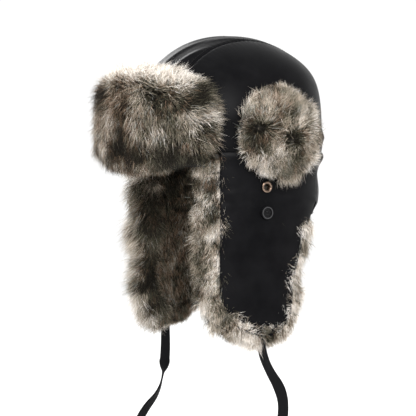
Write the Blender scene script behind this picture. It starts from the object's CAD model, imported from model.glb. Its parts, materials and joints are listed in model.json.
"""A trapper hat: black proofed cloth, deep faux fur, brass vent eyelets and flat chin ties.

Everything is in metres in the CAD model's frame: +Z up, the visor towards -Y, the wearer's left +X.
The hat's walls follow one oval, and each layer lies at an inset inside it.
"""
import json
import math

import bmesh
import bpy
import numpy as np
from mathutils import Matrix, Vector, noise


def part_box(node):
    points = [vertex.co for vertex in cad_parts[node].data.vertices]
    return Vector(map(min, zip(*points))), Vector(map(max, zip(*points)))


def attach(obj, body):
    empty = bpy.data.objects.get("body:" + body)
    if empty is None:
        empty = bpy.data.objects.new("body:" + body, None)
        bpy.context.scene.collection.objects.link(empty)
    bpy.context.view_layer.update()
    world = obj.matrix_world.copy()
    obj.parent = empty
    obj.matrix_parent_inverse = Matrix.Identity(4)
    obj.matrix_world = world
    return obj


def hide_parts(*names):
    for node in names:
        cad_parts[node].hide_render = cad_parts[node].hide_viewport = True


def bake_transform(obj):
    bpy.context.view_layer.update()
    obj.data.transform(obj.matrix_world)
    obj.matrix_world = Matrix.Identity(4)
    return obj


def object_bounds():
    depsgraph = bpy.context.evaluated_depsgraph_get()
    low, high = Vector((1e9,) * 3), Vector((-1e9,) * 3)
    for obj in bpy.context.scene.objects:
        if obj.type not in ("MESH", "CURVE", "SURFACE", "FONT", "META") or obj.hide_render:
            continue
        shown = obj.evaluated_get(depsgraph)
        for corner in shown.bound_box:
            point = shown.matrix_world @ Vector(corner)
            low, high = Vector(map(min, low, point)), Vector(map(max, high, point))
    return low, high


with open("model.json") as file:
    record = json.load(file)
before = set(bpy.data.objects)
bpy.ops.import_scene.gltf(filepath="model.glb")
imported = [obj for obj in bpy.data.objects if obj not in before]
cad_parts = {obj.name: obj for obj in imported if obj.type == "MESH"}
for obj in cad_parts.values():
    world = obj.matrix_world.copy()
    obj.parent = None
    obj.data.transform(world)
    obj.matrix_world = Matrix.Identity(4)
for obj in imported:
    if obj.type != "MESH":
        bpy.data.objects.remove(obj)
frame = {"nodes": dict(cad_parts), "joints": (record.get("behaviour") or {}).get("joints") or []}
CAD_BOX = [list(corner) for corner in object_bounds()]

MM = 0.001
SIDES = (("left", 1.0), ("right", -1.0))


# ---- sizes read from the frame

def joint_place(name):
    return [j["pos_m"] for j in frame["joints"] if j["name"] == name][0]


STRIP_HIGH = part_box("crown_centre_strip")[1]
FLAP_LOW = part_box("ear_flap_shell_left")[0]
NECK_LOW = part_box("neck_panel")[0]
COVER_LOW, COVER_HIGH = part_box("ear_cover_fur_left")
VISOR_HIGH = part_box("visor_fur")[1]
HALF_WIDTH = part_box("crown_side_panel_left")[1].x
HALF_LENGTH = STRIP_HIGH.y
STRIP_HALF = STRIP_HIGH.x
SPRING = 33 * MM
RISE = STRIP_HIGH.z - SPRING
FOLD_Z = joint_place("ear_flap_left_fold")[2]
CLOTH = 1.2 * MM
DOWN = np.array([0.0, 0.0, -1.0])


# ---- camera and light

# The view, in degrees and metres. Its width is what the picture spans at the target.
VIEW_AZIMUTH = 52
VIEW_ELEVATION = 3
VIEW_DISTANCE = 1.40
VIEW_WIDTH = 0.500
VIEW_TARGET = Vector((-0.0148, -0.0189, -0.068))
SENSOR_WIDTH = 36
LIGHT_TARGET = Vector((0, 0, -0.05))
FLOOR_DROP = 12 * MM


def add_object(name, data):
    made = bpy.data.objects.new(name, data)
    bpy.context.scene.collection.objects.link(made)
    return made


def place_camera():
    """The photograph's angle: the wearer's left and front, nearly level."""
    azimuth = math.radians(VIEW_AZIMUTH)
    elevation = math.radians(VIEW_ELEVATION)
    direction = Vector((math.sin(azimuth) * math.cos(elevation),
                        -math.cos(azimuth) * math.cos(elevation),
                        math.sin(elevation)))
    data = bpy.data.cameras.new("camera")
    data.sensor_width = SENSOR_WIDTH
    data.lens = SENSOR_WIDTH * VIEW_DISTANCE / VIEW_WIDTH
    camera = add_object("camera", data)
    camera.location = VIEW_TARGET + direction * VIEW_DISTANCE
    camera.rotation_euler = (-direction).to_track_quat("-Z", "Y").to_euler()
    bpy.context.scene.camera = camera


def soft_light(name, place, size, power):
    data = bpy.data.lights.new(name, "AREA")
    data.shape = "DISK"
    data.size = size
    data.energy = power
    light = add_object(name, data)
    light.location = place
    light.rotation_euler = (LIGHT_TARGET - Vector(place)).to_track_quat("-Z", "Y").to_euler()


def studio():
    soft_light("key", (0.35, -1.4, 1.3), 0.7, 24)
    soft_light("fill", (1.5, -0.75, 0.75), 0.6, 32)
    soft_light("rim", (-1.4, 0.2, 1.0), 0.9, 12)
    world = bpy.data.worlds.new("studio_white")
    world.use_nodes = True
    background = world.node_tree.nodes["Background"]
    background.inputs["Color"].default_value = (1, 1, 1, 1)
    background.inputs["Strength"].default_value = 1.05
    bpy.context.scene.world = world
    bpy.context.scene.view_settings.view_transform = "Standard"
    floor_z = CAD_BOX[0][2] - FLOOR_DROP
    bpy.ops.mesh.primitive_plane_add(size=14, location=(0, 0, floor_z))
    floor = bpy.context.object
    floor.name = "floor"
    material, _ = new_material("floor_white", (0.97, 0.97, 0.97), 0.9)
    floor.data.materials.append(material)


# ---- materials

def new_material(name, colour, roughness, specular=0.5):
    material = bpy.data.materials.new(name)
    material.use_nodes = True
    shader = material.node_tree.nodes["Principled BSDF"]
    shader.inputs["Base Color"].default_value = (*colour, 1)
    shader.inputs["Roughness"].default_value = roughness
    shader.inputs["Specular IOR Level"].default_value = specular
    return material, shader


def node(material, kind, **inputs):
    made = material.node_tree.nodes.new(kind)
    for name, value in inputs.items():
        made.inputs[name.replace("_", " ")].default_value = value
    return made


def link(material, source, output, target, field):
    material.node_tree.links.new(source.outputs[output], target.inputs[field])


def ramp(material, source, output, shader, field, stops):
    """A colour ramp from a value to one field of the shader; each stop is a place and a colour."""
    made = node(material, "ShaderNodeValToRGB")
    elements = made.color_ramp.elements
    while len(elements) < len(stops):
        elements.new(0.5)
    for element, (place, colour) in zip(elements, stops):
        element.position = place
        element.color = (*colour, 1)
    link(material, source, output, made, "Fac")
    link(material, made, "Color", shader, field)


def greys(*stops):
    """The stops of a ramp of greys; each is a place and a value."""
    return [(place, (value, value, value)) for place, value in stops]


def texture(material, kind, **inputs):
    """A texture laid out in the hat's own coordinates."""
    made = node(material, "ShaderNodeTex" + kind, **inputs)
    link(material, node(material, "ShaderNodeTexCoord"), "Object", made, "Vector")
    return made


def ribs(material, direction, **inputs):
    made = texture(material, "Wave", **inputs)
    made.bands_direction = direction
    return made


def bump(material, source, output, shader, strength, distance):
    made = node(material, "ShaderNodeBump", Strength=strength, Distance=distance)
    link(material, source, output, made, "Height")
    link(material, made, "Normal", shader, "Normal")


def maths(material, kind, operation, source, output, second=None):
    """A step of arithmetic on a value or a vector, with a constant where it takes a second one."""
    made = node(material, kind)
    made.operation = operation
    link(material, source, output, made, 0)
    if second is not None:
        made.inputs[1].default_value = second
    return made


def proofed_cloth():
    """Smooth black nylon with a soft sheen: a fine cross weave and cloudy wear."""
    material, shader = new_material("proofed_cloth", (0.004, 0.004, 0.0045), 0.36, specular=0.04)
    cloud = texture(material, "Noise", Scale=38.0, Detail=4.0, Roughness=0.6)
    ramp(material, cloud, "Fac", shader, "Base Color",
         ((0.3, (0.0018, 0.0018, 0.0022)), (0.7, (0.0040, 0.0040, 0.0045))))
    ramp(material, cloud, "Fac", shader, "Roughness", greys((0.3, 0.32), (0.75, 0.44)))
    warp = ribs(material, "Z", Scale=420.0, Distortion=0.4, Detail=1.0)
    weft = ribs(material, "Y", Scale=420.0, Distortion=0.4, Detail=1.0)
    weave = maths(material, "ShaderNodeMath", "MULTIPLY", warp, "Fac")
    link(material, weft, "Fac", weave, 1)
    bump(material, weave, "Value", shader, 0.12, 0.0003)
    return material


def woven_tape(name, colour, scale=900.0):
    """A matt black tape with a visible cross rib."""
    material, shader = new_material(name, colour, 0.6, specular=0.04)
    rib = ribs(material, "Z", Scale=scale, Distortion=0.6, Detail=2.0)
    bright = tuple(c * 1.9 for c in colour)
    ramp(material, rib, "Fac", shader, "Base Color", ((0.2, colour), (0.9, bright)))
    bump(material, rib, "Fac", shader, 0.35, 0.0004)
    return material


def satin_lining():
    material, shader = new_material("quilted_satin", (0.018, 0.018, 0.02), 0.3, specular=0.25)
    thread = texture(material, "Noise", Scale=900.0, Detail=2.0)
    ramp(material, thread, "Fac", shader, "Roughness", greys((0.3, 0.24), (0.7, 0.4)))
    cloud = texture(material, "Noise", Scale=30.0, Detail=3.0)
    ramp(material, cloud, "Fac", shader, "Base Color",
         ((0.3, (0.012, 0.012, 0.014)), (0.7, (0.026, 0.026, 0.03))))
    return material


def hide():
    """The knitted backing that the pile grows from, seen only deep between the hairs."""
    material, shader = new_material("fur_hide", (0.03, 0.026, 0.02), 0.9)
    mottle = texture(material, "Noise", Scale=120.0, Detail=5.0)
    ramp(material, mottle, "Fac", shader, "Base Color",
         ((0.3, (0.012, 0.010, 0.008)), (0.7, (0.055, 0.047, 0.037))))
    return material


def rose_brass():
    material, shader = new_material("rose_brass", (0.25, 0.18, 0.14), 0.3)
    shader.inputs["Metallic"].default_value = 1.0
    wear = texture(material, "Noise", Scale=900.0, Detail=3.0)
    ramp(material, wear, "Fac", shader, "Base Color",
         ((0.35, (0.13, 0.09, 0.065)), (0.65, (0.25, 0.185, 0.145))))
    ramp(material, wear, "Fac", shader, "Roughness", greys((0.3, 0.16), (0.7, 0.34)))
    return material


def black_resin():
    """Black resin, rubbed paler in a ring around each button's raised rim."""
    material, shader = new_material("black_resin", (0.006, 0.006, 0.0065), 0.3, specular=0.12)
    low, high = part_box("ear_flap_button_left")
    middle = (low + high) / 2
    where = node(material, "ShaderNodeTexCoord")
    offset = maths(material, "ShaderNodeVectorMath", "SUBTRACT", where, "Object", (0, middle.y, middle.z))
    flat = maths(material, "ShaderNodeVectorMath", "MULTIPLY", offset, "Vector", (0, 1, 1))
    reach = maths(material, "ShaderNodeVectorMath", "LENGTH", flat, "Vector")
    share = maths(material, "ShaderNodeMath", "DIVIDE", reach, "Value", (high.z - low.z) / 2)
    dark, worn = (0.004, 0.004, 0.0045), (0.040, 0.040, 0.041)
    ramp(material, share, "Value", shader, "Base Color",
         ((0.76, dark), (0.82, worn), (0.88, worn), (0.94, dark)))
    swirl = texture(material, "Noise", Scale=260.0, Detail=3.0, Distortion=1.5)
    ramp(material, swirl, "Fac", shader, "Roughness", greys((0.35, 0.22), (0.7, 0.36)))
    return material


# Tones of the pile, from the darkest root to the whitest tip, as they look in even light.
TONES = {
    "soot": (0.012, 0.010, 0.007),
    "dark_olive": (0.034, 0.029, 0.019),
    "olive": (0.072, 0.067, 0.044),
    "bark": (0.130, 0.086, 0.054),
    "taupe": (0.165, 0.149, 0.108),
    "fawn": (0.225, 0.152, 0.105),
    "stone": (0.300, 0.258, 0.200),
    "silver": (0.330, 0.330, 0.300),
    "sand": (0.470, 0.400, 0.320),
    "cream": (0.680, 0.605, 0.520),
    "chalk": (0.880, 0.830, 0.770),
}
TONE_NAMES = list(TONES)
# The scale from dark to light. Olive and taupe have warm twins, bark and fawn; stone has a cool one.
LADDER = ["soot", "dark_olive", "olive", "taupe", "stone", "sand", "cream", "chalk"]


def pile_materials():
    """One material for each tone, with a constant colour, so that each hair keeps it from any side."""
    return [new_material("pile_" + name, colour, 0.62, specular=0.12)[0] for name, colour in TONES.items()]


# ---- the hat's own surface

def hat_point(turn, height, inset):
    """Points on the hat's wall: turn 0 is the wearer's left, a quarter turn is the back."""
    turn, height, inset = np.broadcast_arrays(turn, height, inset)
    up = np.clip((height - SPRING) / (RISE - inset), 0, 1)
    shrink = np.sqrt(1 - up * up)
    return np.stack([(HALF_WIDTH - inset) * shrink * np.cos(turn),
                     (HALF_LENGTH - inset) * shrink * np.sin(turn), height], -1)


def outward(points):
    """The direction square to the hat's oval or dome at points on or near it."""
    up = np.maximum(points[..., 2] - SPRING, 0)
    normal = np.stack([points[..., 0] / HALF_WIDTH ** 2, points[..., 1] / HALF_LENGTH ** 2,
                       up / RISE ** 2], -1)
    return unit(normal)


def unit(vectors):
    return vectors / np.maximum(np.linalg.norm(vectors, axis=-1, keepdims=True), 1e-9)


def turn_at(y):
    """The turn at which the wall lies that far back."""
    return np.arcsin(np.clip(y / HALF_LENGTH, -1, 1))


def smooth_noise(points, scale, seed):
    """A soft random value from -1 to 1 at each point, with features about scale apart."""
    flat = points.reshape(-1, 3) / scale
    offset = Vector((seed * 7.31, seed * 3.17, seed * 5.77))
    values = [noise.noise(Vector(p) + offset) for p in flat]
    return np.array(values).reshape(points.shape[:-1])


def sway(points, scale, seeds):
    """A soft random vector at each point, with one noise for each of its parts."""
    return np.stack([smooth_noise(points, scale, seed) for seed in seeds], -1)


def bell(values, middle, width):
    """A smooth hump that is 1 at its middle and nearly 0 twice its width away."""
    return np.exp(-((values - middle) / width) ** 2)


def distance_along(path):
    """How far along a path each of its points lies."""
    step = np.linalg.norm(np.diff(path, axis=0), axis=1)
    return np.concatenate([[0], np.cumsum(step)])


def read_along(places, run, values):
    """Values given at each distance of run, read at other distances along the same path."""
    return np.stack([np.interp(places, run, column) for column in values.T], -1)


# ---- mesh making

def mesh_object(name, vertices, faces, material):
    mesh = bpy.data.meshes.new(name)
    mesh.from_pydata([tuple(v) for v in vertices], [], faces)
    mesh.materials.append(material)
    mesh.polygons.foreach_set("use_smooth", [True] * len(mesh.polygons))
    mesh.update()
    return add_object(name, mesh)


def closed_sheet(name, outer, inner, material, wrap=False, missing=()):
    """A sheet of cloth with thickness, from two grids of points.

    wrap closes the first direction, and missing holds the grid cells of a hole.
    """
    vertices = np.concatenate([outer.reshape(-1, 3), inner.reshape(-1, 3)])
    faces = sheet_faces(*outer.shape[:2], wrap, missing)
    made = mesh_object(name, vertices, faces, material)
    tidy_normals(made)
    return made


def sheet_faces(rows, columns, wrap, missing):
    """The faces of a sheet's two sides, of its rims, and of the walls of its hole."""
    def at(layer, i, j):
        return (layer * rows + i % rows) * columns + j

    faces = []
    for i in range(rows if wrap else rows - 1):
        for j in range(columns - 1):
            if (i, j) in missing:
                faces.extend(hole_walls(at, i, j, missing))
                continue
            faces.append((at(0, i, j), at(0, i + 1, j), at(0, i + 1, j + 1), at(0, i, j + 1)))
            faces.append((at(1, i, j), at(1, i, j + 1), at(1, i + 1, j + 1), at(1, i + 1, j)))
        for j in (0, columns - 1):
            quad = (at(0, i, j), at(1, i, j), at(1, i + 1, j), at(0, i + 1, j))
            faces.append(quad if j == 0 else quad[::-1])
    for j in () if wrap else range(columns - 1):
        for i in (0, rows - 1):
            quad = (at(0, i, j), at(0, i, j + 1), at(1, i, j + 1), at(1, i, j))
            faces.append(quad if i == 0 else quad[::-1])
    return faces


def hole_walls(at, i, j, missing):
    """The walls through the cloth around one missing cell, where the next cell isn't missing."""
    sides = (((i - 1, j), (i, j), (i, j + 1)), ((i + 1, j), (i + 1, j), (i + 1, j + 1)),
             ((i, j - 1), (i, j), (i + 1, j)), ((i, j + 1), (i, j + 1), (i + 1, j + 1)))
    return [(at(0, *a), at(0, *b), at(1, *b), at(1, *a)) for beside, a, b in sides
            if beside not in missing]


def tidy_normals(piece):
    work = bmesh.new()
    work.from_mesh(piece.data)
    bmesh.ops.remove_doubles(work, verts=work.verts, dist=1e-6)
    bmesh.ops.recalc_face_normals(work, faces=work.faces)
    work.to_mesh(piece.data)
    work.free()


def tube_faces(rings, sides, first=0):
    """The walls of a tube of rings of corners, and a cap at each end."""
    starts = [first + ring * sides for ring in range(rings)]
    faces = [(low + j, low + (j + 1) % sides, high + (j + 1) % sides, high + j)
             for low, high in zip(starts, starts[1:]) for j in range(sides)]
    faces.append(tuple(starts[0] + j for j in range(sides))[::-1])
    faces.append(tuple(starts[-1] + j for j in range(sides)))
    return faces


def closed_tube(name, rings, material):
    count, sides = rings.shape[:2]
    made = mesh_object(name, rings.reshape(-1, 3), tube_faces(count, sides), material)
    tidy_normals(made)
    return made


def surface_samples(points, count, rng):
    """Roots spread evenly over a grid of points: places and grid positions."""
    a, b = points[:-1, :-1], points[1:, :-1]
    c, d = points[1:, 1:], points[:-1, 1:]
    area = np.linalg.norm(np.cross(c - a, d - b), axis=-1).ravel()
    picked = rng.choice(area.size, count, p=area / area.sum())
    i, j = np.unravel_index(picked, a.shape[:2])
    u, v = rng.random((2, count))
    u3, v3 = u[:, None], v[:, None]
    roots = ((a[i, j] * (1 - u3) + b[i, j] * u3) * (1 - v3)
             + (d[i, j] * (1 - u3) + c[i, j] * u3) * v3)
    return roots, (i + u) / (points.shape[0] - 1), (j + v) / (points.shape[1] - 1)


def grid_normals(points):
    along = np.gradient(points, axis=0)
    across = np.gradient(points, axis=1)
    return unit(np.cross(along, across))


def at_grid(values, u, v):
    """Values on a grid, read between its points."""
    rows, columns = values.shape[:2]
    x, y = u * (rows - 1), v * (columns - 1)
    i = np.clip(x.astype(int), 0, rows - 2)
    j = np.clip(y.astype(int), 0, columns - 2)
    fx, fy = (x - i)[:, None], (y - j)[:, None]
    return ((values[i, j] * (1 - fx) + values[i + 1, j] * fx) * (1 - fy)
            + (values[i, j + 1] * (1 - fx) + values[i + 1, j + 1] * fx) * fy)


# ---- fur

# The hairs of each patch of fur, how deep their roots stand in the hide in millimetres, and how much
# wider a tuft is than a lock.
HAIRS = 19500
ROOT_DEPTH = 0.5
TUFT_SPREAD = 2.3
# How thick a hair is at its knee, as a share of its root.
KNEE_GIRTH = 0.78
# Large primes that make one number of the three that place a lock.
CELL_PRIMES = np.array([73856093, 19349663, 83492791])


def hair_count():
    """Fewer hairs while trying things out."""
    return HAIRS


def clump_pull(roots, spacing, rng):
    """For each root, the middle of the lock of hair that it belongs to, and the lock's number."""
    shift = rng.random(3) * spacing
    wobble = rng.normal(0, spacing * 0.18, roots.shape)
    cells = np.floor((roots + shift + wobble) / spacing).astype(np.int64)
    key = np.bitwise_xor.reduce(cells * CELL_PRIMES, axis=1)
    _, lock = np.unique(key, return_inverse=True)
    total = np.zeros((lock.max() + 1, 3))
    np.add.at(total, lock, roots)
    number = np.bincount(lock)[:, None]
    return (total / number)[lock], lock


def pile(name, roots, normals, comb, length, lightness, rng, lift, lock_size, mottle,
         width=0.42 * MM, gather=0.55, droop=0.12, warm=0.3, tuft=0.16):
    """Hair as one mesh: each is a closed, bent, tapering three-sided spike, dark at its root.

    comb is the way the hair is brushed, length its reach and lightness its tone from 0 to 1. Hairs
    gather in locks, and locks in tufts that differ in length by up to tuft and in tone by mottle.
    """
    count = len(roots)
    roots = roots - normals * ROOT_DEPTH * MM
    middle, lock = clump_pull(roots, lock_size, rng)
    heart, tuft_of = clump_pull(roots, lock_size * TUFT_SPREAD, rng)
    locks, tufts = lock.max() + 1, tuft_of.max() + 1
    stray = rng.normal(0, 0.15, (count, 3))
    lock_lean = rng.normal(0, 0.2, (locks, 3))[lock] + rng.normal(0, 0.16, (tufts, 3))[tuft_of]
    reach = length * rng.uniform(0.7, 1.08, count) * rng.uniform(1 - tuft, 1 + tuft, tufts)[tuft_of]
    rise = unit(normals * lift + comb * (1 - lift) + lock_lean * 0.5 + stray)
    lean = unit(normals * lift * 0.35 + comb + lock_lean + stray * 1.2 + [0, 0, -droop])
    knee_at = rng.uniform(0.42, 0.62, count)
    knee = roots + rise * (reach * knee_at)[:, None]
    tip = knee + lean * (reach * (1 - knee_at))[:, None]
    pull = (middle - roots) * gather + (heart - roots) * (gather * 0.4)
    vertices = spike_corners(roots, knee + pull * 0.35, tip + pull, rise, width, rng)
    level = lightness + rng.normal(0, 0.10 * mottle, tufts)[tuft_of]
    return spikes(name, vertices, count, tone_indices(level, lock, rng, warm))


def spike_corners(roots, knee, tip, rise, width, rng):
    """Each hair's corners: three around its root, three around its knee, and its tip."""
    side = unit(np.cross(rise, unit(rng.normal(0, 1, roots.shape))))
    other = np.cross(rise, side)
    girth = width * rng.uniform(0.75, 1.3, len(roots))
    corners = []
    for centre, share in ((roots, 1.0), (knee, KNEE_GIRTH)):
        for step in range(3):
            angle = step * math.tau / 3
            spoke = side * math.cos(angle) + other * math.sin(angle)
            corners.append(centre + spoke * (girth * share / 2)[:, None])
    return np.stack([*corners, tip], 1).reshape(-1, 3)


def tone_indices(level, lock, rng, warm):
    """The tones of each hair's lower and upper part."""
    count, locks = len(level), lock.max() + 1
    rungs = np.array([TONE_NAMES.index(rung) for rung in LADDER])
    level = level + rng.normal(0, 0.06, locks)[lock] + rng.normal(0, 0.08, count)
    top = level * len(LADDER)
    low = top - rng.uniform(1.8, 3.6, count)
    upper, lower = (rungs[np.clip(np.round(rung), 0, len(LADDER) - 1).astype(int)] for rung in (top, low))
    brown = rng.random(locks)[lock] < warm
    grey = (rng.random(locks) < 0.25)[lock]
    for tones in (upper, lower):
        for chosen, tone, twin in ((brown, "olive", "bark"), (brown, "taupe", "fawn"),
                                   (grey, "stone", "silver")):
            tones[chosen & (tones == TONE_NAMES.index(tone))] = TONE_NAMES.index(twin)
    return lower, upper


# A spike has corners 0-2 at its root, 3-5 at its knee and 6 at its tip.
SPIKE_QUADS = ((0, 1, 4, 3), (1, 2, 5, 4), (2, 0, 3, 5))
SPIKE_TRIANGLES = ((3, 4, 6), (4, 5, 6), (5, 3, 6), (2, 1, 0))
SPIKE_CORNERS = 7


def spikes(name, vertices, count, tones):
    lower, upper = tones
    first = np.arange(count)[:, None] * SPIKE_CORNERS
    quads = (first[:, :, None] + np.array(SPIKE_QUADS)[None]).reshape(count, -1)
    triangles = (first[:, :, None] + np.array(SPIKE_TRIANGLES)[None]).reshape(count, -1)
    loops = np.concatenate([quads, triangles], 1).ravel()
    sizes = np.tile([4] * 3 + [3] * 4, count)
    starts = np.concatenate([[0], np.cumsum(sizes)[:-1]])
    shades = np.stack([lower] * 3 + [upper] * 3 + [lower], 1).ravel()
    mesh = bpy.data.meshes.new(name)
    mesh.vertices.add(len(vertices))
    mesh.vertices.foreach_set("co", vertices.astype(np.float32).ravel())
    mesh.loops.add(len(loops))
    mesh.loops.foreach_set("vertex_index", loops.astype(np.int32))
    mesh.polygons.add(len(sizes))
    mesh.polygons.foreach_set("loop_start", starts.astype(np.int32))
    for material in PILE:
        mesh.materials.append(material)
    mesh.polygons.foreach_set("material_index", shades.astype(np.int32))
    mesh.polygons.foreach_set("use_smooth", [True] * len(sizes))
    mesh.update(calc_edges=True)
    made = add_object(name, mesh)
    return made


PILE = pile_materials()
CLOTH_MATERIAL = proofed_cloth()
HIDE = hide()


# ---- ties

# The route of each tie, the same as in part.py: how far back and how high, in millimetres.
TIE_LEFT = ((-30, -210), (-26, -230), (-15, -250), (0, -270), (7, -292), (2, -320), (-2, -355),
            (-3, -398), (1, -446), (8, -490))
TIE_RIGHT = ((-25, -210), (-24, -243), (-27, -275), (-35, -303), (-58, -322), (-77, -352), (-79, -390),
             (-74, -430), (-67, -468), (-65, -500))
# How each tie turns along its length: a share of the length, and an angle in degrees.
TWISTS_LEFT = ((0, 90), (0.18, 70), (0.5, 25), (1, 60))
TWISTS_RIGHT = ((0, 0), (0.13, 10), (0.2, 120), (0.45, 170), (1, 190))


def smooth_route(route, x):
    """The points of one smooth curve led by the route's points."""
    data = bpy.data.curves.new("route", "CURVE")
    data.dimensions = "3D"
    data.resolution_u = 12
    spline = data.splines.new("NURBS")
    spline.points.add(len(route) - 1)
    for point, (back, height) in zip(spline.points, route):
        point.co = (x, back * MM, height * MM, 1)
    spline.order_u = 3
    spline.use_endpoint_u = True
    curve = bpy.data.objects.new("route", data)
    mesh = bpy.data.meshes.new_from_object(curve)
    points = np.array([v.co for v in mesh.vertices])
    bpy.data.objects.remove(curve)
    bpy.data.meshes.remove(mesh)
    return points


TIE_WIDTH = 13 * MM
TIE_THICK = 2.2 * MM
# Where a tie's hem starts, as a share of its length, and how much thicker it is there.
HEM_START = 0.965
HEM_THICKER = 1.35
# A tie's section, across and out: flat faces, rounded folded edges, a slight dip along the middle.
TIE_SECTION = ((-0.5, 0.0), (-0.47, 0.42), (-0.36, 0.5), (-0.12, 0.36), (0.12, 0.36), (0.36, 0.5),
               (0.47, 0.42), (0.5, 0.0), (0.47, -0.42), (0.36, -0.5), (0.0, -0.4), (-0.36, -0.5),
               (-0.47, -0.42))


def tie_rings(points, twists, side):
    """The tie's section all along its route, turned by its twists and a little uneven in width."""
    along = unit(np.gradient(points, axis=0))
    share = np.linspace(0, 1, len(points))
    turn = np.interp(share, [place for place, _ in twists], [math.radians(a) for _, a in twists])
    flat = unit(np.cross(np.array([1.0, 0, 0]), along))
    front = np.cross(along, flat)
    wide = flat * np.cos(turn)[:, None] + front * np.sin(turn)[:, None]
    out = np.cross(along, wide)
    width = TIE_WIDTH * (1 + 0.05 * np.sin(share * 23 + side))
    thick = TIE_THICK * np.where(share > HEM_START, HEM_THICKER, 1.0)
    return np.stack([points + wide * (a * width)[:, None] + out * (b * thick)[:, None]
                     for a, b in TIE_SECTION], 1)


def tie(side_name, side, route, twists, material):
    """A flat tie of folded cloth, with doubled edges and a hemmed end."""
    low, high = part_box("chin_tie_" + side_name)
    points = smooth_route(route, (low.x + high.x) / 2)
    made = closed_tube("chin_tie_cloth_" + side_name, tie_rings(points, twists, side), material)
    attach(made, "ear_flap_" + side_name)
    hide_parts("chin_tie_" + side_name)


# ---- crown

# The gathers at the back: how high the two rolls lie, how tall they are, how far they stand out in
# millimetres, and how closely the puckers and the finer ones between them follow each other.
UPPER_ROLL = 17 * MM
LOWER_ROLL = -7 * MM
ROLL_TALL = 8 * MM
ROLL_OUT = 3.4
PUCKERS = 74
FINE_PUCKERS = 131


def ruffle(points):
    """Gathers over the elastic at the back: upright puckers on two soft rolls."""
    turn = np.arctan2(points[..., 1] / HALF_LENGTH, points[..., 0] / HALF_WIDTH)
    behind = np.clip((np.sin(turn) - 0.52) / 0.2, 0, 1)
    upper = bell(points[..., 2], UPPER_ROLL, ROLL_TALL)
    lower = bell(points[..., 2], LOWER_ROLL, ROLL_TALL)
    pucker = 0.5 + 0.5 * np.sin(turn * PUCKERS + 1.6 * smooth_noise(points, 28 * MM, 3))
    fine = 0.5 + 0.5 * np.sin(turn * FINE_PUCKERS + 2.0 * smooth_noise(points, 15 * MM, 4))
    return behind * (upper * ROLL_OUT + lower * ROLL_OUT) * (0.4 + 0.42 * pucker + 0.18 * fine) * MM


# Soft folds over the front of the crown strip. Each runs from one place to another, given as
# millimetres across and degrees up from the brow, and has a width and a height in millimetres.
STRIP_FOLDS = (
    (33, 60, 14, 27, 4.0, 1.7),
    (17, 72, -6, 32, 5.0, 1.7),
    (4, 84, -22, 44, 5.5, 1.5),
    (36, 88, 20, 66, 4.0, 1.2),
    (-10, 104, -33, 70, 5.5, 1.2),
    (30, 118, 6, 96, 6.0, 0.8),
)


def strip_folds(points):
    """How far the folds over the front of the strip stand out."""
    length = (RISE + HALF_LENGTH) / 2
    along = np.arctan2((points[..., 2] - SPRING) / RISE, -points[..., 1] / HALF_LENGTH) * length
    place = np.stack([points[..., 0], along], -1)
    total = np.zeros(points.shape[:-1])
    for x_start, up_start, x_end, up_end, wide, high in STRIP_FOLDS:
        start = np.array([x_start * MM, math.radians(up_start) * length])
        run = np.array([x_end * MM, math.radians(up_end) * length]) - start
        share = np.clip((place - start) @ run / (run @ run), 0, 1)
        away = np.linalg.norm(place - start - share[..., None] * run, axis=-1)
        total += high * MM * bell(away, 0, wide * MM) * (0.35 + 0.65 * np.sin(share * math.pi))
    return total


# How far a seam's dip reaches on each side of it.
SEAM_DIP = 2.6 * MM


def crown_relief(points):
    """How far the cloth stands out: seams, puckers, soft folds, the full back and its gathers."""
    across = np.abs(points[..., 0])
    height = points[..., 2]
    seam = bell(across, STRIP_HALF, 2.2 * MM)
    along = np.arctan2(height - SPRING, points[..., 1])
    near_seam = np.exp(-np.abs(across - STRIP_HALF) / (9 * MM))
    puckers = np.sin(along * 95 + 5 * smooth_noise(points, 20 * MM, 1)) * near_seam * 0.14
    broad = smooth_noise(points, 62 * MM, 2) * 1.3
    hem = bell(height, 0, SEAM_DIP)
    full = eased(points[..., 1], -0.02, 0.05) * bell(height, 90 * MM, 30 * MM)
    standing = (0.5 + broad * 0.6 + puckers - seam * 1.1 - hem * 1.3 + full * 6.5) * MM
    return standing + strip_folds(points) + ruffle(points)


def crown_sheet(name, points, node_name):
    normals = outward(points)
    outer = points + normals * crown_relief(points)[..., None]
    made = closed_sheet(name, outer, outer - normals * CLOTH, CLOTH_MATERIAL)
    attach(made, "hat_body")
    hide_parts(node_name)


def crown_strip():
    """The strip from brow to nape, as slices across the hat."""
    across = np.linspace(-STRIP_HALF, STRIP_HALF, 61)[None, :] * 0.999
    arch = math.pi * (RISE + HALF_LENGTH) / 2
    total = arch + 2 * SPRING
    place = np.linspace(0, total, 380)[:, None]
    shrink = np.sqrt(1 - (across / HALF_WIDTH) ** 2)
    angle = np.clip((place - SPRING) / arch, 0, 1) * math.pi
    y = -HALF_LENGTH * shrink * np.cos(angle)
    z = SPRING + RISE * shrink * np.sin(angle)
    z = np.where(place < SPRING, place + 0 * across, z)
    z = np.where(place > total - SPRING, total - place + 0 * across, z)
    points = np.stack([across + 0 * place, y, z], -1)
    crown_sheet("crown_strip_cloth", points, "crown_centre_strip")


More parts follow.
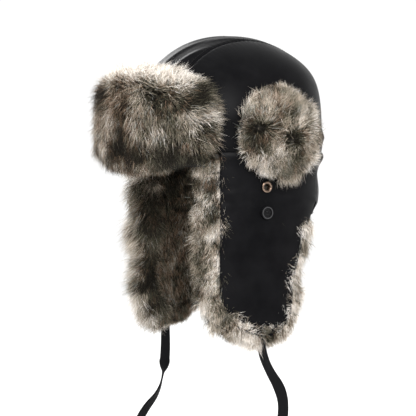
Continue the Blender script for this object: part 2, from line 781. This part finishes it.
def crown_side(side_name, side):
    """A side panel, as meridians from the brim up to the seam."""
    edge = STRIP_HALF * 1.001
    widest = math.acos(edge / HALF_WIDTH)
    turn = (np.sin(np.linspace(-1, 1, 230) * math.pi / 2) * widest)[:, None]
    seam_angle = np.arccos(np.clip(edge / (HALF_WIDTH * np.cos(turn)), -1, 1))
    climb = seam_angle * (RISE + HALF_WIDTH) / 2
    place = np.linspace(0, 1, 110)[None, :] * (SPRING + climb)
    angle = np.clip((place - SPRING) / np.maximum(climb, 1e-6), 0, 1) * seam_angle
    x = HALF_WIDTH * np.cos(turn) * np.cos(angle) * side
    y = HALF_LENGTH * np.sin(turn) * np.cos(angle)
    z = np.minimum(place, SPRING) + RISE * np.sin(angle)
    points = np.stack([x, y, z], -1)
    crown_sheet("crown_side_cloth_" + side_name, points, "crown_side_panel_" + side_name)


# The quilting's diamonds: rows around the crown and up it, and how far they puff.
QUILT_AROUND = 12
QUILT_UP = 78
QUILT_PUFF = 2.6 * MM


def crown_inside():
    """The satin lining, puffed between diamond quilting."""
    turn = np.linspace(0, math.tau, 241)[:-1, None]
    climb = (RISE + HALF_WIDTH) / 2 * math.pi / 2
    place = np.linspace(0, 1, 90)[None, :] * (SPRING + climb)
    angle = np.clip((place - SPRING) / climb, 0, 1) * (math.pi / 2 - 0.02)
    height = np.minimum(place, SPRING) + RISE * np.sin(angle)
    points = np.stack([HALF_WIDTH * np.cos(turn) * np.cos(angle),
                       HALF_LENGTH * np.sin(turn) * np.cos(angle), height + 0 * turn], -1)
    normals = outward(points)
    rising = np.sin(turn * QUILT_AROUND + place * QUILT_UP)
    falling = np.sin(turn * QUILT_AROUND - place * QUILT_UP)
    puff = np.sqrt(np.abs(rising) * np.abs(falling)) * QUILT_PUFF
    inner = points - normals * (8.2 * MM + puff)[..., None]
    outer = points - normals * 4.6 * MM
    made = closed_sheet("crown_quilted_lining", outer, inner, satin_lining(), wrap=True)
    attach(made, "hat_body")
    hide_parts("crown_lining", "crown_strip_batting", "crown_side_batting_left",
                "crown_side_batting_right")


# ---- flap outline, from the CAD cloth

def outline_at(node_name, cuts, cut_axis=2, axis=1):
    """The lowest and highest place along one axis where a CAD node crosses each cut."""
    mesh = frame["nodes"][node_name].data
    places = np.array([v.co for v in mesh.vertices])
    ends = np.array([e.vertices[:] for e in mesh.edges])
    start, stop = places[ends[:, 0]], places[ends[:, 1]]
    least, most = [], []
    for cut in cuts:
        before = start[:, cut_axis] - cut
        after = stop[:, cut_axis] - cut
        crossing = before * after < 0
        share = (before / (before - after + 1e-12))[crossing]
        found = start[crossing, axis] * (1 - share) + stop[crossing, axis] * share
        least.append(found.min())
        most.append(found.max())
    return np.array(least), np.array(most)


def flap_heights():
    """Heights from the crown seam to the flap's tip, closer together where the tip turns."""
    upper = np.linspace(0.1 * MM, FOLD_Z + 6 * MM, 34)
    fold = np.linspace(FOLD_Z + 4 * MM, FOLD_Z - 12 * MM, 20)
    depth = FOLD_Z - 14 * MM - FLAP_LOW.z
    bend = np.sin(np.linspace(0, 1, 84) * math.pi / 2)
    lower = FOLD_Z - 14 * MM - depth * 0.9992 * bend
    return np.concatenate([upper, fold, lower])


def flap_grid(side, inset, columns=90, shrink=0.0):
    """The side of the hat from the crown seam to the flap's tip, as a grid of heights by columns."""
    heights = flap_heights()
    front, rear = outline_at("ear_flap_shell_left", np.minimum(heights, FOLD_Z - 0.6 * MM))
    front, rear = front + shrink, rear - shrink
    middle = (front + rear) / 2
    front, rear = np.minimum(front, middle - 0.2 * MM), np.maximum(rear, middle + 0.2 * MM)
    share = np.linspace(0, 1, columns)[None, :]
    y = front[:, None] * (1 - share) + rear[:, None] * share
    points = hat_point(turn_at(y), heights[:, None], inset)
    points[..., 0] *= side
    return points


def flap_relief(points):
    """Soft upright folds, small creases near the fold line and a dip at the crown seam."""
    z = points[..., 2]
    drape = smooth_noise(points * np.array([1.0, 1.0, 0.35]), 34 * MM, 11) * 1.5
    crease = smooth_noise(points * np.array([1.0, 0.5, 1.6]), 16 * MM, 12)
    near_fold = bell(z, FOLD_Z, 16 * MM)
    seam = bell(z, 0, SEAM_DIP)
    fall = np.clip((FOLD_Z - z) / 0.15, 0, 1)
    return (drape * (0.35 + fall * 0.8) + crease * (0.3 + 0.8 * near_fold) - 1.2 * seam) * MM


def side_cloth(side_name, side):
    """The cloth from the crown seam to the flap's tip, one piece that bends along the fold line."""
    base = flap_grid(side, 0.0)
    normals = outward(base)
    outer = base + normals * flap_relief(base)[..., None]
    made = closed_sheet("side_cloth_" + side_name, outer, outer - normals * CLOTH, CLOTH_MATERIAL,
                        missing=vent_cells(base, side_name))
    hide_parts("side_band_" + side_name, "ear_flap_shell_" + side_name)
    bend_at_fold(made)


def vent_cells(grid, side_name):
    """The grid cells under the eyelet's rim, left out so that the vent is a real hole."""
    low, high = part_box("ear_vent_eyelet_" + side_name)
    middle = (low + high) / 2
    reach = (high.z - low.z) / 2 - 1.6 * MM
    centre = (grid[:-1, :-1] + grid[1:, 1:]) / 2
    away = np.hypot((centre[..., 1] - middle.y) * 1.02, centre[..., 2] - middle.z)
    return {(int(i), int(j)) for i, j in zip(*np.nonzero(away < reach))}


def bend_at_fold(piece):
    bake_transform(piece)


def neck_inset(turn, heights, inset):
    """The inset of a layer of the neck panel: drawn in by the elastic, and again at its hem."""
    reach = turn_at(NECK_LOW.y)
    free = eased(np.minimum(turn, math.pi - turn), reach, reach + 0.2)
    hem = eased(heights, NECK_LOW.z + 14 * MM, NECK_LOW.z)
    return inset + 5 * MM * free * eased(-heights, 0.004, 0.03) + 5 * MM * hem


def neck_cloth():
    """The panel over the nape, between the two flaps, rolled in at its hem."""
    heights = np.linspace(0.1 * MM, NECK_LOW.z, 60)[None, :]
    reach = turn_at(NECK_LOW.y)
    turn = np.linspace(reach, math.pi - reach, 200)[:, None]
    points = hat_point(turn, heights, neck_inset(turn, heights, 0.0))
    normals = outward(points)
    hang = smooth_noise(points * np.array([1.0, 1.0, 0.4]), 30 * MM, 21) * 1.4 * MM
    swell = bell(heights, -48 * MM, 17 * MM) * 2.2 * MM
    free = eased(np.minimum(turn, math.pi - turn), reach, reach + 0.16)
    dip = -1.3 * MM * bell(heights, 0, SEAM_DIP)
    outer = points + normals * ((ruffle(points) + hang + swell) * free + dip)[..., None]
    made = closed_sheet("neck_cloth", outer, outer - normals * CLOTH, CLOTH_MATERIAL)
    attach(made, "hat_body")
    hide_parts("neck_panel")


# ---- fur pads

PAD_SPOKES = 120


def pad_shape(square, puff, rings=36):
    """A pad in its own terms, from its middle to its rim: across, up, and out from 1 to 0."""
    share = np.linspace(0, math.pi / 2, rings)[None, :]
    turn = np.linspace(0, math.tau, PAD_SPOKES + 1)[:, None]
    reach = (np.abs(np.cos(turn)) ** square + np.abs(np.sin(turn)) ** square) ** (-1 / square)
    across = np.sin(share) * reach * np.cos(turn)
    up = np.sin(share) * reach * np.sin(turn)
    return across, up, np.cos(share) ** puff + 0 * turn


def facing(points, middle):
    """The direction square to a grid of points, on the side away from the middle."""
    normals = grid_normals(points)
    inward = np.sum(normals * (points - middle), -1) < 0
    normals[inward] *= -1
    return normals


def pad_skin(name, front, back):
    """The hide of a pad, closed where its front and back meet at the rim."""
    made = closed_sheet(name, front[:-1], back[:-1], HIDE, wrap=True)
    return made


def along_surface(vectors, normals):
    """The part of each vector that lies along the surface."""
    return vectors - normals * np.sum(vectors * normals, -1, keepdims=True)


def eased(values, start, end):
    """A smooth step from 0 at start to 1 at end."""
    share = np.clip((values - start) / (end - start), 0, 1)
    return share * share * (3 - 2 * share)


def wall_x(y, z, inset):
    """How far out the hat's wall or dome lies at a place seen from the side."""
    up = np.clip((z - SPRING) / (RISE - inset), 0, 1)
    return (HALF_WIDTH - inset) * np.sqrt(np.maximum(1 - up ** 2 - (y / (HALF_LENGTH - inset)) ** 2, 0))


def wall_y(x, inset):
    """How far forward the upright oval lies at a place seen from the front."""
    return -(HALF_LENGTH - inset) * np.sqrt(np.maximum(1 - (x / (HALF_WIDTH - inset)) ** 2, 0))


# The visor: the inset of its back, its thickness and the room left for its pile.
VISOR_BACK = -6.1 * MM
VISOR_PAD = 31 * MM
VISOR_PILE = 7 * MM
# The whorl that the visor's hair turns away from, near its left end.
WHORL = np.array([0.073, 0.052])


def visor_place(across, up, out):
    """A point of the visor's pad: out is 0 at its cloth back and 1 at its front."""
    cuts = np.linspace(-0.9, 0.9, 25) * VISOR_HIGH.x
    least, most = outline_at("visor_fur", cuts, cut_axis=0, axis=2)
    x = across * (VISOR_HIGH.x - VISOR_PILE)
    low = np.interp(x, cuts, least) + VISOR_PILE
    high = np.interp(x, cuts, most) - VISOR_PILE
    z = (low + high) / 2 + up * (high - low) / 2
    back = wall_y(x, VISOR_BACK)
    front = wall_y(x, VISOR_BACK - VISOR_PAD)
    return np.stack([x, back + (front - back) * out, z], -1)


def visor_parting(roots):
    """The nearest place on the line that the visor's hair is brushed away from."""
    x = np.clip(roots[:, 0], -0.05, WHORL[0])
    z = WHORL[1] + 22 * MM * (1 - eased(x, 0.02, WHORL[0]))
    return np.stack([x, wall_y(x, VISOR_BACK - VISOR_PAD), z], -1)


def visor_fur():
    across, up, out = pad_shape(square=7.0, puff=0.5)
    front = visor_place(across, up, out)
    back = visor_place(across, up, 0 * out)
    skin = pad_skin("visor_pad", front, back)
    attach(skin, "visor")
    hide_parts("visor_fur")
    normal_grid = facing(front, back.mean((0, 1)))
    for part, seed in (("a", 41), ("b", 42)):
        rng = np.random.default_rng(seed)
        roots, u, v = surface_samples(front, hair_count(), rng)
        normals = unit(at_grid(normal_grid, u, v))
        away = roots - visor_parting(roots)
        far = np.linalg.norm(away, axis=1, keepdims=True)
        swirl = smooth_noise(roots, 34 * MM, 43)[:, None] * np.cross(normals, unit(away))
        comb = along_surface(away / (far + 9 * MM) + swirl * 0.7, normals)
        rim = 1 - at_grid(out[..., None], u, v)[:, 0]
        brown = 0.2 + 0.7 * eased(-roots[:, 0], -0.045, -0.02)
        made = pile("visor_fur_" + part, roots, normals, comb,
                    visor_hair_length(roots, rim), visor_tone(roots + comb * TIP_SHIFT, rim), rng,
                    lift=0.56, lock_size=8 * MM, warm=brown, tuft=0.24, mottle=1.5)
        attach(made, "visor")


def visor_hair_length(roots, rim):
    """Shorter at the rim, and most of all along the lower edge and low on the wearer's left."""
    x, z = roots[:, 0], roots[:, 2]
    low = 7 * eased(-z, 0.0, 0.02) + 6 * eased(x, 0.07, 0.1) * eased(-z, -0.06, -0.02)
    return (23 + 4 * smooth_noise(roots, 30 * MM, 44) - 3 * eased(rim, 0.3, 0.9) - low) * MM


# How far along its comb a hair shows its tone, past its root.
TIP_SHIFT = 18 * MM
# Marks in the visor's pile, in millimetres: how far left and how high each lies, how wide and tall
# it is, and how much lighter or darker than the rest.
VISOR_MARKS = (
    (-20, 58, 15, 7, -0.26),
    (10, 69, 12, 6, -0.24),
    (50, 58, 8, 17, -0.24),
    (85, 58, 24, 14, -0.12),
    (33, 34, 11, 9, 0.08),
    (14, 14, 13, 14, -0.26),
    (43, 14, 14, 6, 0.16),
    (42, -7, 32, 8, -0.38),
    (78, 31, 8, 13, 0.28),
    (92, 34, 7, 11, 0.16),
    (90, 13, 12, 9, -0.22),
)


def marks(across, up, spots):
    """How much a list of marks lightens or darkens the pile at each place."""
    return sum(change * np.exp(-((across / MM - a) / wide) ** 2 - ((up / MM - b) / tall) ** 2)
               for a, b, wide, tall, change in spots)


def visor_tone(roots, rim):
    """Cream along the top and the lower edge, with the marks between them."""
    x, z = roots[:, 0], roots[:, 2]
    patches = smooth_noise(roots, 24 * MM, 45) * 0.32 + smooth_noise(roots, 10 * MM, 46) * 0.3
    top = eased(z, 0.066, 0.084) * 0.62
    fringe = eased(-z, 0.022, 0.032) * 0.42
    return 0.32 + patches + marks(x, z, VISOR_MARKS) * 1.2 + top + fringe + eased(rim, 0.6, 1) * 0.12


# The ear cover: its gap to the crown, its thickness, the room left for its pile, and how far forward of
# the CAD pad and how much lower at the top it lies.
COVER_CLEAR = 3.0 * MM
COVER_PAD = 15 * MM
COVER_PILE = 9 * MM
COVER_FORWARD = 3 * MM
COVER_LOWERED = 4


def cover_place(across, up, out, side, room=COVER_PILE):
    """A point of an ear cover: out is 0 at its back and 1 at its front."""
    middle = (COVER_LOW + COVER_HIGH) / 2
    y = middle.y + across * ((COVER_HIGH.y - COVER_LOW.y) / 2 - room) - COVER_FORWARD
    tilt = np.where(up > 0, 1 - 0.28 * np.maximum(across, 0), 0.95)
    z = middle.z + up * tilt * ((COVER_HIGH.z - COVER_LOW.z) / 2 - room)
    z = z - np.where(up > 0, up, 0) * COVER_LOWERED * MM
    return np.stack([side * (wall_x(y, z, -COVER_CLEAR) + out * COVER_PAD), y, z], -1)


# Marks in the ear cover's pile, in the same terms, with how far back each lies in place of how far left.
COVER_MARKS = (
    (-50, 20, 13, 22, -0.20),
    (-36, 52, 15, 14, 0.12),
    (-5, 46, 7, 16, -0.28),
    (16, 40, 9, 14, 0.10),
    (-10, 18, 11, 6, -0.22),
    (-46, -3, 17, 8, -0.14),
    (-8, -3, 14, 8, 0.26),
    (-9, -20, 9, 5, -0.18),
    (26, 8, 12, 20, 0.16),
)


# The two places that the ear cover's hair turns away from, in metres back and up.
COVER_WHORLS = ((-0.043, 0.024), (-0.005, 0.016))


def from_whorls(roots, whorls):
    """The way the hair is brushed: away from the nearer whorl, and sideways where they meet."""
    total = np.zeros(roots.shape)
    for back, up in whorls:
        away = roots[:, 1:] - np.array([back, up])
        away = away + sway(roots, 24 * MM, (53, 54)) * 9 * MM
        far = np.linalg.norm(away, axis=1, keepdims=True)
        total[:, 1:] += away / (far + 14 * MM) / (far ** 2 + (10 * MM) ** 2)
    return total / (np.linalg.norm(total, axis=1, keepdims=True) + 400)


def cover_fur(side_name, side):
    across, up, out = pad_shape(square=2.1, puff=0.6)
    front = cover_place(across, up, out, side)
    back = cover_place(across, up, 0 * out, side)
    skin = pad_skin("ear_cover_pad_" + side_name, front, back)
    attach(skin, "ear_cover_" + side_name)
    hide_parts("ear_cover_fur_" + side_name)
    rng = np.random.default_rng(51 if side > 0 else 52)
    roots, u, v = surface_samples(front, hair_count(), rng)
    normals = unit(at_grid(facing(front, back.mean((0, 1)) - np.array([side * 0.02, 0, 0])), u, v))
    comb = along_surface(from_whorls(roots, COVER_WHORLS), normals)
    rim = 1 - at_grid(out[..., None], u, v)[:, 0]
    patches = smooth_noise(roots, 20 * MM, 55) * 0.26 + smooth_noise(roots, 9 * MM, 56) * 0.2
    shown = roots + comb * TIP_SHIFT
    spots = marks(shown[:, 1], shown[:, 2], COVER_MARKS) * 1.2
    tone = 0.45 + patches + spots + eased(rim, 0.4, 0.95) * 0.34
    made = pile("ear_cover_fur_hair_" + side_name, roots, normals, comb,
                (19 + 3 * smooth_noise(roots, 20 * MM, 57)) * MM, tone, rng, lift=0.5,
                lock_size=8 * MM, tuft=0.24, mottle=1.5)
    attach(made, "ear_cover_" + side_name)


def cover_back(side_name, side):
    """The cloth back of an ear cover, slightly puckered towards its seam."""
    across, up, out = pad_shape(square=2.0, puff=1.0, rings=24)
    outer = cover_place(across, up, 0 * out, side, room=5 * MM)
    pucker = np.sin(np.arctan2(up, across) * 40) * (1 - out) * 0.25 * MM
    outward_x = np.array([side, 0.0, 0.0])
    outer = outer - outward_x * (0.4 * MM + pucker[..., None])
    made = closed_sheet("ear_cover_cloth_" + side_name, outer[:-1], (outer - outward_x * CLOTH)[:-1],
                        BACKING, wrap=True)
    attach(made, "ear_cover_" + side_name)
    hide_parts("ear_cover_backing_" + side_name)


def visor_back():
    """The cloth back of the visor, over the stiff board."""
    across, up, out = pad_shape(square=7.0, puff=1.0, rings=24)
    points = visor_place(across, up, 0 * out)
    points[..., 1] += 2.4 * MM + 0.3 * MM * smooth_noise(points, 18 * MM, 47)
    behind = points + np.array([0, CLOTH, 0])
    made = closed_sheet("visor_cloth", points[:-1], behind[:-1], BACKING, wrap=True)
    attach(made, "visor")
    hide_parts("visor_backing")


# The hinge strip reaches over this share of the visor's half width, from above the brow seam to below
# the fold, and runs outwards from under the crown's cloth by the dive. When the visor is folded they
# meet in the middle only: towards the ends the visor's back is higher than the strip, and they part.
HINGE_REACH = 0.82
HINGE_ABOVE = 3 * MM
HINGE_BELOW = 5 * MM
HINGE_INSET = 1.6 * MM
HINGE_DIVE = 4.2 * MM


def visor_hinge():
    """The strip of cloth from the brow seam towards the visor's back, which bends as the visor folds."""
    fold = joint_place("visor_fold")
    x = np.linspace(-HINGE_REACH, HINGE_REACH, 91)[:, None] * VISOR_HIGH.x
    z = np.linspace(HINGE_ABOVE, fold[2] - HINGE_BELOW, 31)[None, :]
    inset = HINGE_INSET - HINGE_DIVE * eased(-z, 0.0, -fold[2])
    outer, inner = (np.stack([x + 0 * z, wall_y(x, layer), z + 0 * x], -1)
                    for layer in (inset, inset + CLOTH))
    made = closed_sheet("visor_hinge_cloth", outer, inner, BACKING)
    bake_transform(made)


# ---- fur edges of the flaps

# Where the fur edge starts, how many rings it has and how many of them are averaged to smooth it.
EDGE_START = -1 * MM
EDGE_RINGS = 260
EDGE_AVERAGED = 9


def edge_path():
    """The flap's edge seen from the side, evenly spaced: down the front, round the tip, up the rear."""
    heights = np.concatenate([np.linspace(EDGE_START, FOLD_Z, 12),
                              flap_heights()[flap_heights() < FOLD_Z - 1 * MM]])
    front, rear = outline_at("ear_flap_shell_left", np.minimum(heights, FOLD_Z - 0.8 * MM))
    forward = np.stack([front, heights], -1)
    under = np.stack([rear, heights], -1)[heights < FOLD_Z - 12 * MM]
    path = np.concatenate([forward, under[::-1]])
    run = distance_along(path)
    path = read_along(np.linspace(0, run[-1], EDGE_RINGS), run, path)
    beyond = EDGE_AVERAGED // 2
    padded = np.pad(path, ((beyond, beyond), (0, 0)), mode="edge")
    kernel = np.ones(EDGE_AVERAGED) / EDGE_AVERAGED
    return np.stack([np.convolve(padded[:, k], kernel, "valid") for k in (0, 1)], -1)


# The middle of the rolled edge lies this far inside the cloth, and its section is this wide and deep.
EDGE_INSET = 9 * MM
EDGE_WIDE = 7.5 * MM
EDGE_DEEP = 7.5 * MM


def edge_ways(path):
    """The way out from the flap all along its edge, seen from the side."""
    along = unit(np.gradient(path, axis=0))
    out = np.stack([along[:, 1], -along[:, 0]], -1)
    centre = path.mean(0)
    out[np.sum(out * (path - centre), -1) < 0] *= -1
    return out


def edge_grid(side):
    """The rolled fur edge as rings along its path, with the way out from the flap at each ring."""
    path = edge_path()
    out = edge_ways(path)
    share = np.linspace(0, 1, len(path))
    taper = np.minimum(eased(share, -0.02, 0.01), eased(1 - share, -0.01, 0.05))
    angle = np.linspace(0, math.tau, 25)[None, :]
    forward, under = np.clip(-out[:, :1], 0, 1), np.clip(-out[:, 1:], 0, 1)
    reach = (1 + 2 * forward - 3 * under) * MM + EDGE_WIDE * taper[:, None] * np.cos(angle)
    inset = EDGE_INSET - EDGE_DEEP * taper[:, None] * np.sin(angle)
    y = path[:, :1] + out[:, :1] * reach
    z = path[:, 1:] + out[:, 1:] * reach
    points = np.stack([side * wall_x(y, z, inset), y, z], -1)
    away = np.stack([0 * share, out[:, 0], out[:, 1]], -1)
    return points, away


def edge_fur(side_name, side):
    """The rolled fur edge: its hide, and its hairs as a front and a rear half."""
    points, away = edge_grid(side)
    skin = closed_tube("flap_edge_hide_" + side_name, points[:, :-1], HIDE)
    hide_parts("side_band_fur_trim_" + side_name, "ear_flap_fur_trim_" + side_name)
    bend_at_fold(skin)
    normal_grid = unit(points - points[:, :-1].mean(1, keepdims=True))
    last = len(points) - 1
    halves = (("front", 0, last // 2), ("rear", last // 2, last))
    for number, (part, start, stop) in enumerate(halves):
        rows = slice(start, stop + 1)
        rng = np.random.default_rng(61 + number + (10 if side > 0 else 20))
        made = edge_hairs("flap_edge_fur_%s_%s" % (part, side_name), points[rows], normal_grid[rows],
                          away[rows], side, rng)
        bend_at_fold(made)


def edge_hairs(name, points, normal_grid, away, side, rng):
    """Hairs brushed outwards and down, and laid flat and short where they meet the cloth."""
    roots, u, v = surface_samples(points, hair_count(), rng)
    normals = unit(at_grid(normal_grid, u, v))
    outward_way = at_grid(np.repeat(away[:, None], 2, 1), u, 0 * v)
    facing_out = np.sin(v * math.tau)
    beyond = np.cos(v * math.tau)
    by_cloth = eased(facing_out, -0.1, 0.5) * eased(-beyond, -0.6, 0.2)
    turned_up = (by_cloth * np.clip(-outward_way[:, 2], 0, 1))[:, None]
    hanging = eased(facing_out, 0.0, 0.7)[:, None]
    comb = (outward_way * (0.85 - 0.45 * hanging - 0.95 * turned_up)
            + DOWN * (0.5 + 0.4 * hanging) * (1 - turned_up)
            + sway(roots, 22 * MM, (63, 64, 65)) * 0.45)
    length = edge_hair_length(roots, outward_way, side) * (1 - 0.45 * by_cloth)
    lift = 0.42 - 0.24 * by_cloth[:, None] * (1 - turned_up)
    return pile(name, roots, normals, along_surface(comb, normals), length,
                edge_tone(roots, facing_out, beyond), rng, lift=lift, droop=0.25, tuft=0.4,
                lock_size=7 * MM, mottle=1.1)


def edge_tone(roots, facing_out, beyond):
    """Streaked, pale behind, and dark with few streaks on the side that faces the head."""
    inside = eased(-facing_out, -0.2, 0.3) * (1 - 0.8 * eased(beyond, 0.3, 0.9))
    streaks = smooth_noise(roots, 17 * MM, 66) * 0.6 + smooth_noise(roots, 8 * MM, 67) * 0.3
    rear_pale = eased(roots[:, 1], -0.01, 0.02) * 0.18
    return 0.67 + streaks * (1 - 0.8 * inside) + rear_pale - inside * 0.50


def edge_hair_length(roots, outward_way, side):
    """Full at the toe and high up behind. The wearer's right is longer in front, shorter below."""
    forward = np.clip(-outward_way[:, 1], 0, 1)
    under = np.clip(-outward_way[:, 2], 0, 1)
    behind = np.clip(outward_way[:, 1], 0, 1) * eased(roots[:, 2], -0.11, -0.05)
    front, toe, trimmed = (-2, 17, 4) if side > 0 else (8, 12, 12)
    shape = 20 + front * forward + toe * forward * under - trimmed * under + 14 * behind
    return (shape + 3 * smooth_noise(roots, 18 * MM, 68)) * MM


# ---- fur linings

# The insets of the fur linings' hide, on its outer and its inner side.
LINING_OUT = 4.6 * MM
LINING_IN = 8.5 * MM


def lining_fur(side_name, side):
    """The fur inside the side of the hat and its flap, brushed down."""
    inner = flap_grid(side, LINING_IN, columns=60, shrink=1.5 * MM)
    outer = flap_grid(side, LINING_OUT, columns=60, shrink=1.5 * MM)
    skin = closed_sheet("flap_lining_hide_" + side_name, outer, inner, HIDE)
    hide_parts("side_band_batting_" + side_name, "side_band_fur_" + side_name,
                "ear_flap_batting_" + side_name, "ear_flap_fur_lining_" + side_name)
    bend_at_fold(skin)
    rng = np.random.default_rng(71 if side > 0 else 72)
    roots, _, _ = surface_samples(inner, hair_count(), rng)
    made = brushed_down("flap_lining_fur_" + side_name, roots, rng, 0.36)
    bend_at_fold(made)


def neck_fur():
    heights = np.linspace(-0.8 * MM, NECK_LOW.z - 2 * MM, 50)[None, :]
    reach = turn_at(NECK_LOW.y + 1 * MM)
    turn = np.linspace(reach, math.pi - reach, 120)[:, None]
    outer = hat_point(turn, heights, neck_inset(turn, heights, LINING_OUT))
    inner = hat_point(turn, heights, neck_inset(turn, heights, LINING_IN))
    skin = closed_sheet("neck_lining_hide", outer, inner, HIDE)
    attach(skin, "hat_body")
    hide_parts("neck_batting", "neck_fur_lining")
    rng = np.random.default_rng(73)
    roots, _, _ = surface_samples(inner, hair_count(), rng)
    made = brushed_down("neck_lining_fur", roots, rng, 0.38)
    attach(made, "hat_body")


def brushed_down(name, roots, rng, tone):
    """Lining fur: it stands inwards and leans down, with paler tips towards the lower edge."""
    normals = -outward(roots)
    comb = along_surface(DOWN + sway(roots, 26 * MM, (74, 75, 76)) * 0.5, normals)
    patches = smooth_noise(roots, 26 * MM, 77) * 0.14 + smooth_noise(roots, 9 * MM, 78) * 0.1
    shade = eased(-roots[:, 2], 0.03, 0.12) * 0.13
    return pile(name, roots, normals, comb,
                (17 + 2.5 * smooth_noise(roots, 20 * MM, 79)) * MM,
                tone - 0.20 + patches + shade, rng, width=0.6 * MM, lift=0.4, lock_size=5 * MM,
                gather=0.4, droop=0.2, warm=0.6, mottle=0.6)


# ---- band, stitches and hardware

# The sweatband: its height in millimetres, the insets of its two sides, and its slight waves.
BAND_HIGH = 30
BAND_OUT = 10.1 * MM
BAND_IN = 11.7 * MM
BAND_WAVE = 0.25 * MM
BAND_WAVES = 46


def sweatband():
    turn = np.linspace(0, math.tau, 241)[:-1, None]
    heights = np.linspace(0.2, BAND_HIGH, 24)[None, :] * MM
    wave = BAND_WAVE * np.sin(turn * BAND_WAVES) * np.sin(heights / (BAND_HIGH * MM) * math.pi)
    outer = hat_point(turn, heights, BAND_OUT)
    inner = hat_point(turn, heights, BAND_IN)
    inner = inner + outward(inner) * wave[..., None]
    made = closed_sheet("sweatband_cloth", outer, inner, TAPE, wrap=True)
    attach(made, "hat_body")
    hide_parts("sweatband")


STITCH_PITCH = 3.4 * MM
STITCH_LENGTH = 2.5 * MM
STITCH_THICK = 0.5 * MM
STITCH_SIDES = 5
# Places along a stitch, and how far out of the cloth it lies there in millimetres.
STITCH_SHAPE = ((0.0, -0.2), (0.15, 0.25), (0.5, 0.4), (0.85, 0.25), (1.0, -0.2))


def stitch(start, run, path, normals):
    """One short thread that dips into the cloth at both ends, as rings of corners."""
    shares, rises = np.array(STITCH_SHAPE).T
    places = start + shares * STITCH_LENGTH
    normal = read_along(places, run, normals)
    spine = read_along(places, run, path) + normal * rises[:, None] * MM
    side = np.cross(unit(spine[-1] - spine[0]), normal)[:, None]
    angle = (np.arange(STITCH_SIDES) * math.tau / STITCH_SIDES)[None, :, None]
    spokes = side * np.cos(angle) + normal[:, None] * np.sin(angle)
    return spine[:, None] + spokes * STITCH_THICK / 2


def stitch_row(name, path, normals):
    """A row of stitches along a path."""
    run = distance_along(path)
    starts = np.arange(0.5 * MM, run[-1] - STITCH_PITCH, STITCH_PITCH)
    corners = np.concatenate([stitch(start, run, path, normals) for start in starts])
    rings = len(STITCH_SHAPE)
    faces = []
    for number in range(len(starts)):
        faces.extend(tube_faces(rings, STITCH_SIDES, first=number * rings * STITCH_SIDES))
    made = mesh_object(name, corners.reshape(-1, 3), faces, THREAD)
    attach(made, "hat_body")


# How far the topstitching lies from the seam.
TOPSTITCH_IN = 3.2 * MM


def crown_stitches():
    """Topstitching along both edges of the crown strip, from brow to nape."""
    angle = np.linspace(0.02, math.pi - 0.02, 400)
    for side_name, side in SIDES:
        x = side * (STRIP_HALF - TOPSTITCH_IN)
        shrink = math.sqrt(1 - (x / HALF_WIDTH) ** 2)
        path = np.stack([x + 0 * angle, -HALF_LENGTH * shrink * np.cos(angle),
                         SPRING + RISE * shrink * np.sin(angle)], -1)
        normals = outward(path)
        path = path + normals * crown_relief(path)[:, None]
        stitch_row("crown_stitches_" + side_name, path, normals)


def finish_nodes(material, *names):
    for name in names:
        for slot in frame["nodes"][name].material_slots:
            slot.material = material


def hardware():
    brass = rose_brass()
    resin = black_resin()
    for side_name, _ in SIDES:
        finish_nodes(brass, "ear_vent_eyelet_" + side_name, "eyelet_washer_" + side_name)
        finish_nodes(resin, "ear_flap_button_" + side_name)
        finish_nodes(THREAD, "button_thread_" + side_name)
    finish_nodes(TAPE, "rear_elastic", "rear_elastic_tape", "visor_board")


# ---- the whole hat

BACKING = woven_tape("backing_twill", (0.014, 0.014, 0.015), scale=600.0)
TAPE = woven_tape("twill_tape", (0.018, 0.018, 0.02))
THREAD = woven_tape("sewing_thread", (0.012, 0.012, 0.012), scale=2600.0)
TIE_CLOTH = woven_tape("tie_cloth", (0.0035, 0.0035, 0.004), scale=1400.0)

place_camera()
tie("left", 1.0, TIE_LEFT, TWISTS_LEFT, TIE_CLOTH)
tie("right", -1.0, TIE_RIGHT, TWISTS_RIGHT, TIE_CLOTH)
studio()
crown_strip()
crown_inside()
sweatband()
neck_cloth()
neck_fur()
visor_back()
visor_hinge()
visor_fur()
crown_stitches()
for side_name, side in SIDES:
    crown_side(side_name, side)
    side_cloth(side_name, side)
    lining_fur(side_name, side)
    edge_fur(side_name, side)
    cover_back(side_name, side)
    cover_fur(side_name, side)
hardware()
